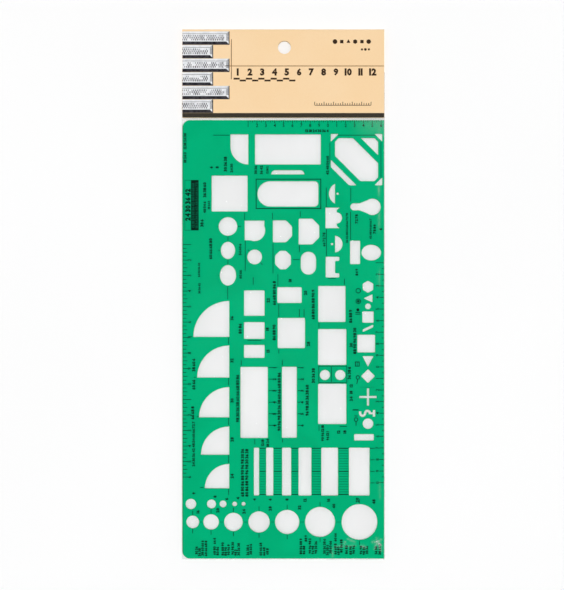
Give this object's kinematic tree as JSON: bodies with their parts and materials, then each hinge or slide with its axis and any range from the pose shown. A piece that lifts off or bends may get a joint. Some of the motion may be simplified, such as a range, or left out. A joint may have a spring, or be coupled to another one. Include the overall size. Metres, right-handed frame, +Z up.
{
  "type": "drafting template",
  "caption": "Flat translucent plastic drafting template with plan-symbol cut-outs, sliding out of a clear film sleeve under a folded header card with a hang hole.",
  "frame": {"origin": "centre of the pack's outline, on the surface it lies on", "axes": "+Y along the pack towards the header card, +X across it to the right, +Z up out of the printed face"},
  "size_m": [0.1118, 0.2919, 0.0025],
  "materials": {
    "green_plastic": "translucent green sheet, smooth",
    "clear_film": "clear glossy film",
    "tan_card": "uncoated tan card stock, printed",
    "adhesive_tape": "double-sided tape"
  },
  "bodies": {
    "pack": {"header_card": "tan_card", "poly_bag": "clear_film", "front_tape": "adhesive_tape", "back_tape": "adhesive_tape"},
    "template": {"template_plate": "green_plastic"}
  },
  "joints": [
    {"name": "template_slide", "type": "slide", "parent": "pack", "child": "template", "axis": [0, -1, 0], "range_m": [0, 0.245]}
  ]
}
